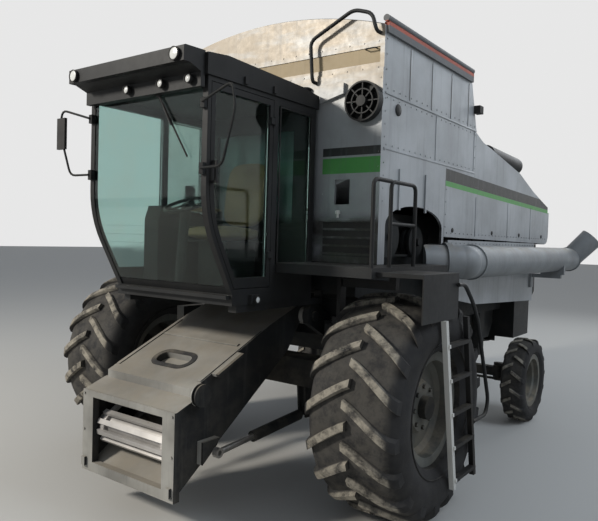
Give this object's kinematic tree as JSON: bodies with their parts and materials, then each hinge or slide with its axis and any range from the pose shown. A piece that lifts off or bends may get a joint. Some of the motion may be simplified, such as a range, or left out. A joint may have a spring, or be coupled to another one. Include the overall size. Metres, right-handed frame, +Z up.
{
  "type": "combine harvester",
  "caption": "Self-propelled grain harvester with a glazed cab, crowned grain tank, side unloading auger, lifting feeder house, driven front wheels and steered rear wheels.",
  "frame": {"origin": "on the floor, below the middle of the machine's bounding box, which runs from the feeder house's face to the rear and over both front tyres and the ladder", "axes": "+X to the machine's left, +Y to its rear, +Z up; the front faces -Y"},
  "size_m": [3.8929, 6.9724, 4.1428],
  "materials": {
    "frame_paint": "matt dark grey paint, dusty",
    "black_paint": "black paint, faded",
    "silver_sheet": "weathered silver paint",
    "tyre": "worn rubber with mud",
    "rim": "silver paint, dusty",
    "axle_iron": "dark paint over castings",
    "steel": "bright steel rod",
    "glass": "green tinted",
    "rail_red": "rusted red paint",
    "cover": "pale tarpaulin",
    "seat": "tan cloth",
    "plastic": "black plastic",
    "lamp": "clear lamp glass",
    "rotor": "dark grey paint"
  },
  "bodies": {
    "body": {"main_frame": "frame_paint", "front_axle": "axle_iron", "separator_housing": "frame_paint", "cleaning_shoe": "frame_paint", "engine_block": "axle_iron", "grain_tank": "silver_sheet", "tank_extension": "silver_sheet", "tank_cover": "cover", "tank_rails": "rail_red", "front_wall": "silver_sheet", "front_screen": "black_paint", "side_shield_left": "silver_sheet", "side_shield_right": "silver_sheet", "rear_hood": "silver_sheet", "discharge_hood": "black_paint", "muffler": "black_paint", "drive_pulleys": "frame_paint", "platform_deck": "black_paint", "railings": "black_paint", "ladder": "silver_sheet", "auger_mounts": "silver_sheet", "cab_floor": "black_paint", "cab_frame": "black_paint", "cab_roof": "black_paint", "windshield": "glass", "cab_side_glass": "glass", "seat": "seat", "steering_column": "plastic", "work_lamps": "lamp", "mirror_arms": "black_paint"},
    "front_left_wheel": {"tyre_front_left": "tyre", "rim_front_left": "rim"},
    "front_right_wheel": {"tyre_front_right": "tyre", "rim_front_right": "rim"},
    "rear_axle": {"rear_axle_beam": "axle_iron"},
    "left_knuckle": {"knuckle_left": "axle_iron"},
    "right_knuckle": {"knuckle_right": "axle_iron"},
    "steering_tie_rod": {"tie_rod": "axle_iron"},
    "rear_left_wheel": {"tyre_rear_left": "tyre", "rim_rear_left": "rim"},
    "rear_right_wheel": {"tyre_rear_right": "tyre", "rim_rear_right": "rim"},
    "feeder": {"feeder_house": "frame_paint", "feeder_chain": "rail_red"},
    "left_lift_barrel": {"lift_barrel_left": "frame_paint"},
    "right_lift_barrel": {"lift_barrel_right": "frame_paint"},
    "left_lift_rod": {"lift_rod_left": "steel"},
    "right_lift_rod": {"lift_rod_right": "steel"},
    "door": {"cab_door": "black_paint", "door_glass": "glass"},
    "auger": {"auger_tube": "silver_sheet"},
    "screen": {"rotary_screen": "rotor"},
    "left_spreader": {"spreader_left": "rotor"},
    "right_spreader": {"spreader_right": "rotor"}
  },
  "joints": [
    {"name": "front_left_roll", "type": "hinge", "parent": "body", "child": "front_left_wheel", "pos_m": [1.524, -1.872, 0.876], "axis": [1, 0, 0], "continuous": true},
    {"name": "front_right_roll", "type": "hinge", "parent": "body", "child": "front_right_wheel", "pos_m": [-1.524, -1.872, 0.876], "axis": [1, 0, 0], "continuous": true},
    {"name": "rear_axle_rock", "type": "hinge", "parent": "body", "child": "rear_axle", "pos_m": [0, 1.49, 0.56], "axis": [0, 1, 0], "range_deg": [-5, 5]},
    {"name": "steer_left", "type": "hinge", "parent": "rear_axle", "child": "left_knuckle", "pos_m": [1.19, 1.49, 0.56], "axis": [0, 0, 1], "range_deg": [-32, 32]},
    {"name": "steer_right", "type": "hinge", "parent": "rear_axle", "child": "right_knuckle", "pos_m": [-1.19, 1.49, 0.56], "axis": [0, 0, 1], "range_deg": [-32, 32]},
    {"name": "tie_rod_turn", "type": "hinge", "parent": "left_knuckle", "child": "steering_tie_rod", "pos_m": [1.19, 1.68, 0.46], "axis": [0, 0, 1], "range_deg": [-33, 33]},
    {"name": "rear_left_roll", "type": "hinge", "parent": "left_knuckle", "child": "rear_left_wheel", "pos_m": [1.51, 1.49, 0.51], "axis": [1, 0, 0], "continuous": true},
    {"name": "rear_right_roll", "type": "hinge", "parent": "right_knuckle", "child": "rear_right_wheel", "pos_m": [-1.51, 1.49, 0.51], "axis": [1, 0, 0], "continuous": true},
    {"name": "feeder_lift", "type": "hinge", "parent": "body", "child": "feeder", "pos_m": [0, -1.812, 1.48], "axis": [-1, 0, 0], "range_deg": [0, 20]},
    {"name": "left_lift_turn", "type": "hinge", "parent": "body", "child": "left_lift_barrel", "pos_m": [0.625, -1.902, 0.64], "axis": [-1, 0, 0], "range_deg": [0, 20.54]},
    {"name": "right_lift_turn", "type": "hinge", "parent": "body", "child": "right_lift_barrel", "pos_m": [-0.625, -1.902, 0.64], "axis": [-1, 0, 0], "range_deg": [0, 20.54]},
    {"name": "left_lift_stroke", "type": "slide", "parent": "left_lift_barrel", "child": "left_lift_rod", "axis": [0, -0.9975, -0.0712], "range_m": [0, 0.2974]},
    {"name": "right_lift_stroke", "type": "slide", "parent": "right_lift_barrel", "child": "right_lift_rod", "axis": [0, -0.9975, -0.0712], "range_m": [0, 0.2974]},
    {"name": "cab_door_swing", "type": "hinge", "parent": "body", "child": "door", "pos_m": [0.683, -2.524, 2.5], "axis": [0, 0, 1], "range_deg": [0, 80]},
    {"name": "auger_swing", "type": "hinge", "parent": "body", "child": "auger", "pos_m": [1.54, -0.662, 1.99], "axis": [0.7431, 0.6691, 0], "range_deg": [0, 150]},
    {"name": "screen_spin", "type": "hinge", "parent": "body", "child": "screen", "pos_m": [-1.286, 1.378, 2.5], "axis": [1, 0, 0], "continuous": true},
    {"name": "left_spreader_spin", "type": "hinge", "parent": "body", "child": "left_spreader", "pos_m": [0.42, 2.628, 0.8], "axis": [0, 0, 1], "continuous": true},
    {"name": "right_spreader_spin", "type": "hinge", "parent": "body", "child": "right_spreader", "pos_m": [-0.42, 2.628, 0.8], "axis": [0, 0, 1], "continuous": true}
  ],
  "couplings": [
    {"joint": "steer_right", "follows": "steer_left", "ratio": 1},
    {"joint": "tie_rod_turn", "follows": "steer_left", "ratio": -1},
    {"joint": "left_lift_turn", "follows": "feeder_lift", "ratio": 1.0021},
    {"joint": "right_lift_turn", "follows": "feeder_lift", "ratio": 1.0021},
    {"joint": "left_lift_stroke", "follows": "feeder_lift", "m_per_rad": 0.84052},
    {"joint": "right_lift_stroke", "follows": "feeder_lift", "m_per_rad": 0.84052}
  ]
}
